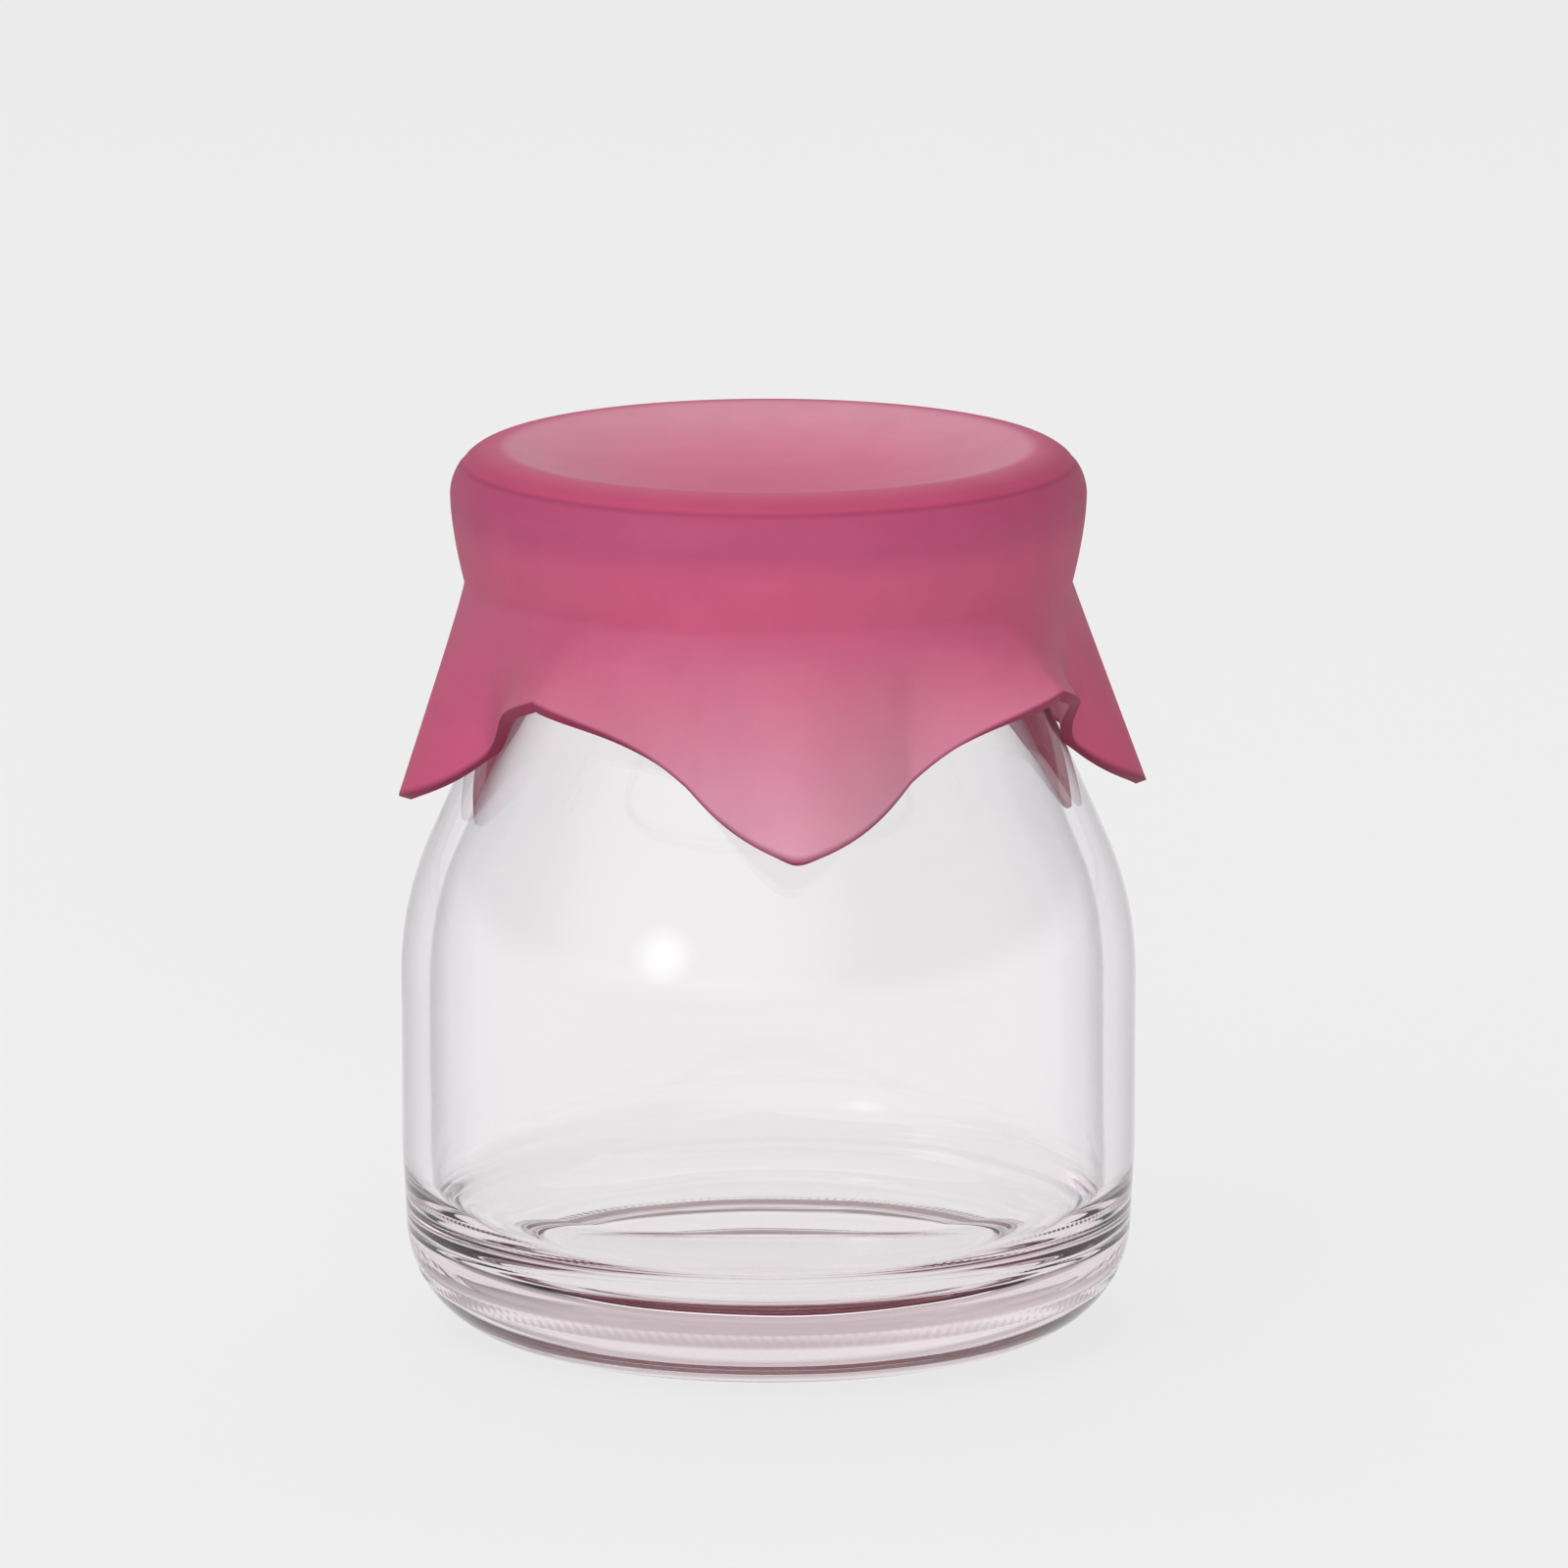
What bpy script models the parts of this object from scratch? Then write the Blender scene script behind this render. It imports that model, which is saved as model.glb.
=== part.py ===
"""Small clear glass pudding jar with a soft plastic cap shaped like a gathered cloth cover.

The jar is one turned piece of glass: a bearing ring and push-up under a thick base, a round
heel, a straight body, a sloping shoulder, a short neck and a thick bead round the mouth.
The cap is one thin moulded piece: a dished top, a rounded crown that clips over the bead, a
pinch below it like a tied string, and a skirt with four long points between four short flares.
The cap is soft, so its long points are not all alike.
Units are metres, +Z is up, and the origin is at the centre of the surface the jar stands on.
Cap points lie on the X and Y axes, apart from the small turn of one of them.
"""

import math

import bmesh
import bpy

# Glass jar, outside
BODY_RADIUS = 0.0285
BODY_STRAIGHT_BOTTOM = 0.0146
BODY_STRAIGHT_TOP = 0.0277
RING_RADIUS = 0.0214
RING_CORNER_RADIUS = 0.0020
RING_CORNER_ANGLE = 16.0
HEEL_RADIUS = 0.0086
HEEL_TOP_ANGLE = 88.0
SHOULDER_ARC_RADIUS = 0.0260
SHOULDER_SLOPE = math.radians(24.0)
NECK_RADIUS = 0.0208
NECK_ARC_RADIUS = 0.0060
BEAD_RADIUS = 0.0229
BEAD_TOP = 0.0678
BEAD_TOP_ROUNDING = 0.0019
BEAD_BOTTOM = 0.0613
BEAD_BOTTOM_ROUNDING = 0.0014

# Glass jar, underside and inside
BEARING_WIDTH = 0.0015
PUSH_UP_STEP = 0.0004
PUSH_UP_HEIGHT = 0.0015
WALL = 0.0023
FLOOR_HEIGHT = 0.0066
FLOOR_CORNER_RADIUS = 0.0063

# Cap, outside of the crown
CAP_WALL = 0.0009
CREST_HEIGHT = 0.0690
CREST_RADIUS = 0.02085
CREST_ROUNDING = 0.0037
DISH_EDGE_SLOPE = math.radians(18.0)
SIDE_POWER = 1.6
PINCH_RADIUS = 0.02345
PINCH_HEIGHT = 0.0584

# Cap, hem of the skirt, with its long points in the order right, back, left, front
POINT_RADII = (0.0295, 0.0293, 0.0287, 0.0295)
POINT_TURNS = (0.0, 0.0, 0.0, -2.0)
POINTS = len(POINT_RADII)
POINT_HEIGHT = 0.0421
POINT_POWER = 1.15
FOLD_SOFTNESS = 0.22
TIP_SOFTNESS = 0.03
FLARE_RADIUS = 0.0288
FLARE_HEIGHT = 0.0531
FLARE_POWER = 2.1
FLARE_BELL = 0.35
CREASE_RADIUS = 0.0243
CREASE_SHARE = 0.46
HEM_WAVE = 0.055

# Facets
JAR_STEPS = 60
RING_CORNER_STEPS = 2
HEEL_STEPS = 9
SHOULDER_STEPS = 6
BEAD_BOTTOM_STEPS = 3
BEAD_TOP_STEPS = 5
FLOOR_CORNER_STEPS = 7
PUSH_UP_ROWS = 4
CAP_STEPS = 72
DISH_STEPS = 4
CREST_STEPS = 9
SIDE_ROWS = 3
SKIRT_ROWS = 5
MERGE = 0.00001


def clear_scene():
    for old in list(bpy.data.objects):
        bpy.data.objects.remove(old, do_unlink=True)


def arc(centre_r, centre_z, radius, start, end, steps):
    """Points (r, z) on a circle in the profile plane, angles in degrees from +r towards +z."""
    points = []
    for i in range(steps + 1):
        a = math.radians(start + (end - start) * i / steps)
        points.append((centre_r + radius * math.cos(a), centre_z + radius * math.sin(a)))
    return points


def shoulder(inset, steps):
    """Shoulder from the top of the straight body to the neck, moved inwards by inset."""
    slope = math.degrees(SHOULDER_SLOPE)
    body = (BODY_RADIUS - SHOULDER_ARC_RADIUS, BODY_STRAIGHT_TOP)
    drop_at_body = SHOULDER_ARC_RADIUS * (1 - math.cos(SHOULDER_SLOPE))
    drop_at_neck = NECK_ARC_RADIUS * (1 - math.cos(SHOULDER_SLOPE))
    cone_width = BODY_RADIUS - drop_at_body - NECK_RADIUS - drop_at_neck
    cone_top = (BODY_STRAIGHT_TOP + SHOULDER_ARC_RADIUS * math.sin(SHOULDER_SLOPE)
                + cone_width / math.tan(SHOULDER_SLOPE))
    neck = (NECK_RADIUS + NECK_ARC_RADIUS, cone_top + NECK_ARC_RADIUS * math.sin(SHOULDER_SLOPE))
    lower = arc(*body, SHOULDER_ARC_RADIUS - inset, 0, slope, steps)
    upper = arc(*neck, NECK_ARC_RADIUS + inset, 180 + slope, 180, steps // 2)
    return lower + upper


def heel():
    """Outer profile of the heel: a tight corner at the flat ring, then one round arc."""
    turn = math.radians(RING_CORNER_ANGLE)
    centre_r = RING_RADIUS - (HEEL_RADIUS - RING_CORNER_RADIUS) * math.sin(turn)
    centre_z = RING_CORNER_RADIUS + (HEEL_RADIUS - RING_CORNER_RADIUS) * math.cos(turn)
    corner = arc(RING_RADIUS, RING_CORNER_RADIUS, RING_CORNER_RADIUS, -90,
                 RING_CORNER_ANGLE - 90, RING_CORNER_STEPS)
    side = arc(centre_r, centre_z, HEEL_RADIUS, RING_CORNER_ANGLE - 90,
               HEEL_TOP_ANGLE - 90, HEEL_STEPS)
    return corner[:-1] + side


def jar_outside():
    """Outer profile from the bearing ring up to the top of the bead."""
    points = heel()
    points += [(BODY_RADIUS, BODY_STRAIGHT_BOTTOM)]
    points += shoulder(0.0, SHOULDER_STEPS)
    points += [(NECK_RADIUS, BEAD_BOTTOM - BEAD_BOTTOM_ROUNDING)]
    points += arc(BEAD_RADIUS - BEAD_BOTTOM_ROUNDING, BEAD_BOTTOM + BEAD_BOTTOM_ROUNDING,
                  BEAD_BOTTOM_ROUNDING, -90, 0, BEAD_BOTTOM_STEPS)
    points += arc(BEAD_RADIUS - BEAD_TOP_ROUNDING, BEAD_TOP - BEAD_TOP_ROUNDING,
                  BEAD_TOP_ROUNDING, 0, 90, BEAD_TOP_STEPS)
    return points


def jar_inside():
    """Inner profile from the centre of the floor up to the top of the bead."""
    inner_body = BODY_RADIUS - WALL
    mouth = NECK_RADIUS - WALL
    points = [(0.0, FLOOR_HEIGHT)]
    points += arc(inner_body - FLOOR_CORNER_RADIUS, FLOOR_HEIGHT + FLOOR_CORNER_RADIUS,
                  FLOOR_CORNER_RADIUS, -90, 0, FLOOR_CORNER_STEPS)
    points += shoulder(WALL, SHOULDER_STEPS)
    points += arc(mouth + BEAD_TOP_ROUNDING, BEAD_TOP - BEAD_TOP_ROUNDING,
                  BEAD_TOP_ROUNDING, 180, 90, BEAD_TOP_STEPS)
    return points


def jar_underside():
    """Flat bearing ring, a small step, and the push-up to the axis."""
    ring_inner = RING_RADIUS - BEARING_WIDTH
    rise = PUSH_UP_HEIGHT - PUSH_UP_STEP
    points = [(ring_inner, 0.0)]
    for i in range(PUSH_UP_ROWS + 1):
        share = i / PUSH_UP_ROWS
        r = (ring_inner - PUSH_UP_STEP) * (1 - share)
        points.append((r, PUSH_UP_STEP + rise * math.sin(share * math.pi / 2)))
    return points


def profile_object(name, points, steps, collection):
    """Turned solid: the profile as a chain of edges, swept by a Screw modifier."""
    mesh = bpy.data.meshes.new(name)
    vertices = [(r, 0.0, z) for r, z in points]
    edges = [(i, i + 1) for i in range(len(points) - 1)]
    mesh.from_pydata(vertices, edges, [])
    piece = bpy.data.objects.new(name, mesh)
    collection.objects.link(piece)
    screw = piece.modifiers.new("Turn", 'SCREW')
    screw.axis = 'Z'
    screw.steps = steps
    screw.render_steps = steps
    screw.use_merge_vertices = True
    screw.merge_threshold = MERGE
    screw.use_smooth_shade = True
    return piece


def make_jar(collection):
    inside_up = jar_inside()
    outside_down = list(reversed(jar_outside()))
    points = inside_up + outside_down + jar_underside()
    jar = profile_object("glass_jar", points, JAR_STEPS, collection)
    jar.data.materials.append(glass_material())
    return jar


def crown_profile():
    """Outer profile of the cap from the centre of its dish down to the pinch."""
    slope = math.degrees(DISH_EDGE_SLOPE)
    centre_z = CREST_HEIGHT - CREST_ROUNDING
    crest = arc(CREST_RADIUS, centre_z, CREST_ROUNDING, 90 + slope, 0, CREST_STEPS)
    edge_r, edge_z = crest[0]
    dish_radius = edge_r / math.sin(DISH_EDGE_SLOPE)
    dish_centre_z = edge_z + dish_radius * math.cos(DISH_EDGE_SLOPE)
    dish = arc(0.0, dish_centre_z, dish_radius, 270, 270 + slope, DISH_STEPS)
    side_top_r, side_top_z = crest[-1]
    side = []
    for i in range(1, SIDE_ROWS + 1):
        share = i / SIDE_ROWS
        r = side_top_r + (PINCH_RADIUS - side_top_r) * share ** SIDE_POWER
        side.append((r, side_top_z + (PINCH_HEIGHT - side_top_z) * share))
    return dish[:-1] + crest + side


def nearest_point(azimuth):
    """Number of the nearest long point, and the way from its middle, 0, to a flare's middle, 1."""
    sector = 2 * math.pi / POINTS
    number = round(azimuth / sector)
    return number % POINTS, abs(azimuth - number * sector) / (sector / 2)


def eased(way, softness):
    """The way from 0 to 1 with its sharp start at 0 rounded off."""
    return (math.hypot(way, softness) - softness) / (math.hypot(1, softness) - softness)


def hem(point, way):
    """Radius and height of the hem: folded at the long points, and a soft flare between two."""
    if way < CREASE_SHARE:
        from_crease = 1 - eased(way / CREASE_SHARE, FOLD_SOFTNESS)
        reach = (POINT_RADII[point] - CREASE_RADIUS) * from_crease ** POINT_POWER
    else:
        from_crease = (way - CREASE_SHARE) / (1 - CREASE_SHARE)
        swell = math.sin(from_crease * math.pi / 2)
        reach = (FLARE_RADIUS - CREASE_RADIUS) * swell ** FLARE_POWER
    rise = eased(way, TIP_SOFTNESS)
    climb = rise - HEM_WAVE * math.sin(2 * math.pi * rise)
    height = POINT_HEIGHT + (FLARE_HEIGHT - POINT_HEIGHT) * climb
    return CREASE_RADIUS + reach, height


def shape_skirt(bm):
    """Run the skirt from the pinch to the hem, straight at the points and bell-like at the flares."""
    for vertex in bm.verts:
        share = (PINCH_HEIGHT - vertex.co.z) / (PINCH_HEIGHT - POINT_HEIGHT)
        if share <= MERGE:
            continue
        azimuth = math.atan2(vertex.co.y, vertex.co.x)
        point, way = nearest_point(azimuth)
        hem_r, hem_z = hem(point, way)
        bell = 1 + FLARE_BELL * way
        r = PINCH_RADIUS + (hem_r - PINCH_RADIUS) * share ** bell
        azimuth += math.radians(POINT_TURNS[point]) * share * (1 - way) ** 2
        vertex.co.x = r * math.cos(azimuth)
        vertex.co.y = r * math.sin(azimuth)
        vertex.co.z = PINCH_HEIGHT + (hem_z - PINCH_HEIGHT) * share


def make_cap(collection):
    profile = crown_profile()
    for i in range(1, SKIRT_ROWS + 1):
        drop = (PINCH_HEIGHT - POINT_HEIGHT) * i / SKIRT_ROWS
        profile.append((PINCH_RADIUS, PINCH_HEIGHT - drop))
    bm = bmesh.new()
    chain = [bm.verts.new((r, 0.0, z)) for r, z in profile]
    edges = [bm.edges.new((a, b)) for a, b in zip(chain, chain[1:])]
    bmesh.ops.spin(bm, geom=chain + edges, cent=(0, 0, 0), axis=(0, 0, 1), dvec=(0, 0, 0),
                   angle=2 * math.pi, steps=CAP_STEPS, use_merge=True, use_duplicate=False)
    bmesh.ops.remove_doubles(bm, verts=bm.verts[:], dist=MERGE)
    shape_skirt(bm)
    bmesh.ops.recalc_face_normals(bm, faces=bm.faces[:])
    top = max(bm.faces, key=lambda face: face.calc_center_median().z)
    if top.normal.z < 0:
        bmesh.ops.reverse_faces(bm, faces=bm.faces[:])
    for face in bm.faces:
        face.smooth = True
    mesh = bpy.data.meshes.new("cap")
    bm.to_mesh(mesh)
    bm.free()
    cap = bpy.data.objects.new("cap", mesh)
    collection.objects.link(cap)
    shell = cap.modifiers.new("Wall", 'SOLIDIFY')
    shell.thickness = CAP_WALL
    shell.offset = -1.0
    shell.use_even_offset = True
    cap.data.materials.append(cap_material())
    return cap


def plain_material(name, colour, roughness, transmission):
    material = bpy.data.materials.new(name)
    material.use_nodes = True
    shader = material.node_tree.nodes["Principled BSDF"]
    shader.inputs["Base Color"].default_value = (*colour, 1.0)
    shader.inputs["Roughness"].default_value = roughness
    shader.inputs["Metallic"].default_value = 0.0
    shader.inputs["Transmission Weight"].default_value = transmission
    return material


def glass_material():
    return plain_material("clear_glass", (0.93, 0.93, 0.95), 0.03, 1.0)


def cap_material():
    return plain_material("rose_plastic", (0.58, 0.11, 0.23), 0.45, 0.0)


def main():
    clear_scene()
    collection = bpy.data.collections.new("pudding_jar")
    bpy.context.scene.collection.children.link(collection)
    make_jar(collection)
    make_cap(collection)


main()
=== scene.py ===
"""Looks of a small clear glass pudding jar with a soft rose plastic cap like a gathered cloth.

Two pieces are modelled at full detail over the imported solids: the turned glass jar, with tiny
dimples round its heel and its slightly uneven inside, and the thin moulded cap.
The script runs on its own and builds the pieces, the stage, the lights and the camera.
Units are metres, +Z is up, and the origin is at the centre of the surface the jar stands on.
"""

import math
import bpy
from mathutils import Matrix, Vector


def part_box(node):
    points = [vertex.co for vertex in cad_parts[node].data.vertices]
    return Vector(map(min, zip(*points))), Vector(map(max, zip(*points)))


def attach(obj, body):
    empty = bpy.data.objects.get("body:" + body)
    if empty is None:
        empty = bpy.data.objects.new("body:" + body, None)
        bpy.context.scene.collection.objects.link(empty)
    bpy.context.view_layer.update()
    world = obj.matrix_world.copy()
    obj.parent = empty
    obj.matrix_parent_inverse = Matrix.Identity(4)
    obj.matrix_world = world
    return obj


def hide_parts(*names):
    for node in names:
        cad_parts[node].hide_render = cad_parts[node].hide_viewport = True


bl_info = {
    "name": "Pudding Jar",
    "version": (1, 0, 0),
    "blender": (4, 5, 0),
    "location": "3D View > Sidebar > Pudding Jar",
    "description": "Builds a clear glass pudding jar with a rose plastic cap, and its stage",
    "category": "Mesh",
}

import bmesh
import bpy
from mathutils import Matrix, Vector

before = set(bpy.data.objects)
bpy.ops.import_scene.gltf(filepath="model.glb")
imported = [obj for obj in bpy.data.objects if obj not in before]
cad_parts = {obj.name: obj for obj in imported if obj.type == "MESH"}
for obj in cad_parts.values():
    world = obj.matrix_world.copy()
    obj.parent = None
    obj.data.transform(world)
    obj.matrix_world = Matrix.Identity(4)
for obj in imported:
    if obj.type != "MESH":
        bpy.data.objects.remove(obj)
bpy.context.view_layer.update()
GLASS_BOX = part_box("glass_jar")
LOWEST = GLASS_BOX[0].z
SENSOR_WIDTH = 36.0
WHITE = (1.0, 1.0, 1.0)
# Vertices closer than this are one.
MERGE = 0.000005
# Facets from the middle of one dimple to the next.
STEPS_A_DOT = 3
# How often a ray may turn, because the thick base sends light round many times.
LIGHT_PATHS = 24
# The floor lies this far below the jar, so that the two never share a plane.
FLOOR_GAP = 0.00002
# Name of the attribute that is 1 on the last row of the cap's skirt, where a darker line of painted
# shade goes.
HEM_LINE = "hem_line"
# Waves of the inside wall, as (waves round the jar, turn for each metre up, start).
WALL_WAVES = ((3, 170.0, 0.0), (5, -90.0, 1.3), (2, 240.0, 4.0))
# Where the bright patch of the studio lies, in front on the left.
FRONT_LIGHT_FROM = Vector((-0.50, -0.78, 0.38)).normalized()


def length(name, description, default):
    """A size in metres, shown with its unit."""
    return bpy.props.FloatProperty(name=name, description=description, default=default, min=0.0,
                                   precision=5, subtype='DISTANCE', unit='LENGTH')


def angle(name, description, degrees):
    return bpy.props.FloatProperty(name=name, description=description,
                                   default=math.radians(degrees), precision=2,
                                   subtype='ANGLE', unit='ROTATION')


def share(name, description, default):
    return bpy.props.FloatProperty(name=name, description=description, default=default,
                                   min=0.0, max=1.0, precision=3, subtype='FACTOR')


def number(name, description, default):
    return bpy.props.FloatProperty(name=name, description=description, default=default,
                                   precision=3)


def colour(name, description, default):
    return bpy.props.FloatVectorProperty(name=name, description=description, default=default,
                                         min=0.0, max=1.0, size=3, subtype='COLOR')


def count(name, description, default):
    return bpy.props.IntProperty(name=name, description=description, default=default, min=3)


def four(name, description, default, unit):
    """One value for each long point of the cap, in the order right, back, left, front."""
    return bpy.props.FloatVectorProperty(name=name, description=description, default=default,
                                         size=4, precision=5, unit=unit)


class JarSizes(bpy.types.PropertyGroup):
    """Sizes of the turned glass."""

    body_radius: length("Body radius", "Outer radius of the straight body", GLASS_BOX[1].x)
    bead_top: length("Bead top", "Height of the top of the bead", GLASS_BOX[1].z)
    body_bottom: length("Body bottom", "Where the straight body begins", 0.0146)
    body_top: length("Body top", "Where the straight body ends", 0.0277)
    ring: length("Ring radius", "Outer radius of the flat ring it stands on", 0.0214)
    ring_corner: length("Ring corner", "Radius of the corner at the ring", 0.0020)
    ring_turn: angle("Ring turn", "How far the corner at the ring turns", 16.0)
    heel: length("Heel rounding", "Radius of the round heel", 0.0086)
    heel_turn: angle("Heel turn", "Where the round heel ends", 88.0)
    shoulder_arc: length("Shoulder arc", "Radius of the rounding of the shoulder", 0.0260)
    shoulder_slope: angle("Shoulder slope", "Lean of the shoulder from upright", 24.0)
    neck_radius: length("Neck radius", "Outer radius of the neck", 0.0208)
    neck_arc: length("Neck arc", "Radius of the hollow below the neck", 0.0060)
    bead_radius: length("Bead radius", "Outer radius of the bead", 0.0229)
    bead_rounding: length("Bead rounding", "Rounding of the bead's top edges", 0.0019)
    bead_bottom: length("Bead bottom", "Height of the underside of the bead", 0.0613)
    bead_under: length("Bead under", "Rounding below the bead", 0.0014)
    wall: length("Wall", "Thickness of the wall", 0.0023)
    floor: length("Floor", "Height of the inside floor", 0.0066)
    floor_corner: length("Floor corner", "Rounding between floor and wall", 0.0063)
    bearing: length("Bearing width", "Width of the flat ring it stands on", 0.0015)
    step: length("Push-up step", "Step inside the bearing ring", 0.0004)
    push_up: length("Push-up height", "Rise of the underside at the axis", 0.0015)
    dots: count("Dots", "Tiny dimples round the heel, and round the ring it stands on", 192)
    dot_row: length("Dot row", "Height of the row of dimples on the heel", 0.0046)
    dot_depth: length("Dot depth", "Depth of a dimple", 0.00010)
    unevenness: length("Unevenness", "How much the inside wanders", 0.00007)


class CapSizes(bpy.types.PropertyGroup):
    """Sizes of the moulded cap."""

    wall: length("Wall", "Thickness of the plastic", 0.0009)
    crest_height: length("Crest height", "Height of the crown's top edge", 0.0690)
    crest_radius: length("Crest radius", "Radius of the crown's top edge", 0.02085)
    crest_rounding: length("Crest rounding", "Rounding over the top edge", 0.0037)
    dish_slope: angle("Dish slope", "Slope of the dished top at its edge", 18.0)
    pinch_radius: length("Pinch radius", "Radius at the tied-in pinch", 0.02345)
    side_power: number("Side power", "How the crown's side curves in to the pinch", 1.6)
    groove_height: length("Groove height", "Height of the fine groove round the crown", 0.0677)
    groove_depth: length("Groove depth", "Depth of the fine groove", 0.00009)
    groove_width: length("Groove width", "Half-width of the fine groove", 0.00018)
    pinch_height: length("Pinch height", "Height of the pinch", 0.0584)
    point_radii: four("Point radii", "Radius of the hem at each long point",
                      (0.0295, 0.0293, 0.0287, 0.0295), 'LENGTH')
    point_turns: four("Point turns", "Turn of each long point out of its quarter",
                      (0.0, 0.0, 0.0, math.radians(-2.0)), 'ROTATION')
    point_height: length("Point height", "Height of the hem at a point", 0.0421)
    point_power: number("Point power", "How fast a point's fold falls back", 1.15)
    fold_softness: share("Fold softness", "Rounding of the fold at a point", 0.22)
    tip_softness: share("Tip softness", "Rounding of the tip of a point", 0.03)
    flare_radius: length("Flare radius", "Radius of the hem between two points", 0.0288)
    flare_height: length("Flare height", "Height of the hem between two points", 0.0531)
    flare_power: number("Flare power", "How soft the flare between two points is", 2.1)
    flare_bell: number("Flare bell", "How late the flare leaves the neck", 0.35)
    crease_radius: length("Crease radius", "Radius of the hem in the creases", 0.0243)
    crease_share: share("Crease share", "Place of the crease from a point to a flare", 0.46)
    hem_wave: share("Hem wave", "How much the hem swings between point and flare", 0.055)
    hem_edge: length("Hem edge", "Rounding of the hem's edges", 0.0002)
    # The darker line along the hem is painted shade.
    hem_line: length("Hem line", "Height of the darker line along the hem", 0.0006)
    steps: count("Steps", "Facets round the cap", 360)


class Finishes(bpy.types.PropertyGroup):
    """Colours of the materials; the cap's colours are lighter and darker copies of one rose plastic,
    painted light and shade.
    """

    glass_depth: colour("Glass depth", "Colour that thick glass takes", (0.80, 0.60, 0.68))
    glass_density: number("Glass density", "How fast thick glass takes its colour", 10.0)
    # Painted light and sheen: the dish is a paler copy of the cap's rose plastic.
    dish: colour("Dish", "Cap, dished top", (0.78, 0.225, 0.375))
    # Painted light and shade: crest, groove, crown, crown low and skirt are lighter and darker copies
    # of one rose plastic by height; the groove's dark is painted shade.
    crest: colour("Crest", "Cap, band over the top edge", (0.53, 0.085, 0.190))
    groove: colour("Groove", "Cap, fine groove", (0.38, 0.062, 0.150))
    crown: colour("Crown", "Cap, upper side over the bead", (0.46, 0.087, 0.190))
    crown_low: colour("Crown low", "Cap, lower side below the bead", (0.55, 0.108, 0.218))
    skirt: colour("Skirt", "Cap, skirt below the pinch", (0.56, 0.125, 0.240))
    # Painted light: the tip is a paler copy of the sides' colour, for the end of the front point.
    sides: colour("Sides", "Cap, ends of the points at the sides and behind", (0.58, 0.100, 0.215))
    tip: colour("Tip", "Cap, pale end of the front point", (0.69, 0.370, 0.470))
    # Painted light: the lining is a paler copy for the inside of the skirt.
    lining: colour("Lining", "Cap, inside of the skirt", (0.80, 0.370, 0.480))
    # Painted shade: the hem is a darker line along the hem's edge.
    hem: colour("Hem", "Cap, darker line along the hem", (0.20, 0.030, 0.080))
    through: colour("Through", "Cap, light that comes through", (0.95, 0.20, 0.42))
    translucence: share("Translucence", "Cap, how much of it lets light through", 0.28)
    floor: colour("Floor", "Pale floor", (0.20, 0.20, 0.202))
    floor_glow: share("Floor glow", "Light that the pale floor lets through from below", 0.68)


class StageSizes(bpy.types.PropertyGroup):
    """Camera, lights and studio."""

    azimuth: angle("Azimuth", "Camera's turn round the jar", -6.4)
    elevation: angle("Elevation", "Camera's height above the level", 11.8)
    distance: length("Distance", "Camera to the middle of the jar", 1.1)
    aim_height: length("Aim height", "Height on the axis that the view is measured from", 0.033)
    aim_right: length("Aim right", "Middle of the picture to the right of the axis", 0.0012)
    aim_up: length("Aim up", "Middle of the picture above the aim height", 0.0092)
    lens: number("Lens", "Focal length in millimetres on a 36 mm sensor", 325.7)
    top_power: number("Top power", "Watts of the softbox above", 7.0)
    front_power: number("Front power", "Watts of the softbox in front", 12.0)
    left_power: number("Left power", "Watts of the softbox on the left", 1.0)
    left_colour: colour("Left colour", "Violet light of the left softbox", (0.62, 0.50, 1.0))
    lamp_power: number("Lamp power", "Watts of the round lamp's widest disc", 0.17)
    lamp_width: length("Lamp width", "Width of the round lamp", 0.4)
    back_light: number("Back light", "Strength of the studio behind the jar", 1.0)
    side_light: number("Side light", "Strength of the studio at the sides", 0.08)
    front_light: number("Front light", "Strength of the bright patch in front", 1.9)
    horizon_light: number("Horizon light", "Strength of the studio along the horizon", 0.86)
    low_tint: colour("Low tint", "Colour of the studio near the horizon", (1.0, 0.995, 1.0))
    high_tint: colour("High tint", "Colour of the studio higher up", (0.64, 0.59, 0.61))


class JarSettings(bpy.types.PropertyGroup):
    """All settings of the object."""

    jar: bpy.props.PointerProperty(type=JarSizes, name="Jar", description="Glass jar")
    cap: bpy.props.PointerProperty(type=CapSizes, name="Cap", description="Plastic cap")
    finish: bpy.props.PointerProperty(type=Finishes, name="Finishes", description="Colours")
    stage: bpy.props.PointerProperty(type=StageSizes, name="Stage", description="Stage")


def arc(centre_r, centre_z, radius, start, end, steps):
    """Points (r, z) on a circle in the profile plane, angles in degrees from +r towards +z."""
    points = []
    for i in range(steps + 1):
        a = math.radians(start + (end - start) * i / steps)
        points.append((centre_r + radius * math.cos(a), centre_z + radius * math.sin(a)))
    return points


def line(start, end, steps):
    """Points after start and up to end, evenly spaced."""
    return [tuple(a + (b - a) * i / steps for a, b in zip(start, end))
            for i in range(1, steps + 1)]


def spun(profile, steps):
    """A bmesh of the profile turned round the Z axis, with its poles and seam closed."""
    bm = bmesh.new()
    chain = [bm.verts.new((r, 0.0, z)) for r, z in profile]
    edges = [bm.edges.new(pair) for pair in zip(chain, chain[1:])]
    bmesh.ops.spin(bm, geom=chain + edges, cent=(0, 0, 0), axis=(0, 0, 1), dvec=(0, 0, 0),
                   angle=2 * math.pi, steps=steps, use_merge=True, use_duplicate=False)
    bmesh.ops.remove_doubles(bm, verts=bm.verts[:], dist=MERGE)
    bmesh.ops.recalc_face_normals(bm, faces=bm.faces[:])
    return bm


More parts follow.
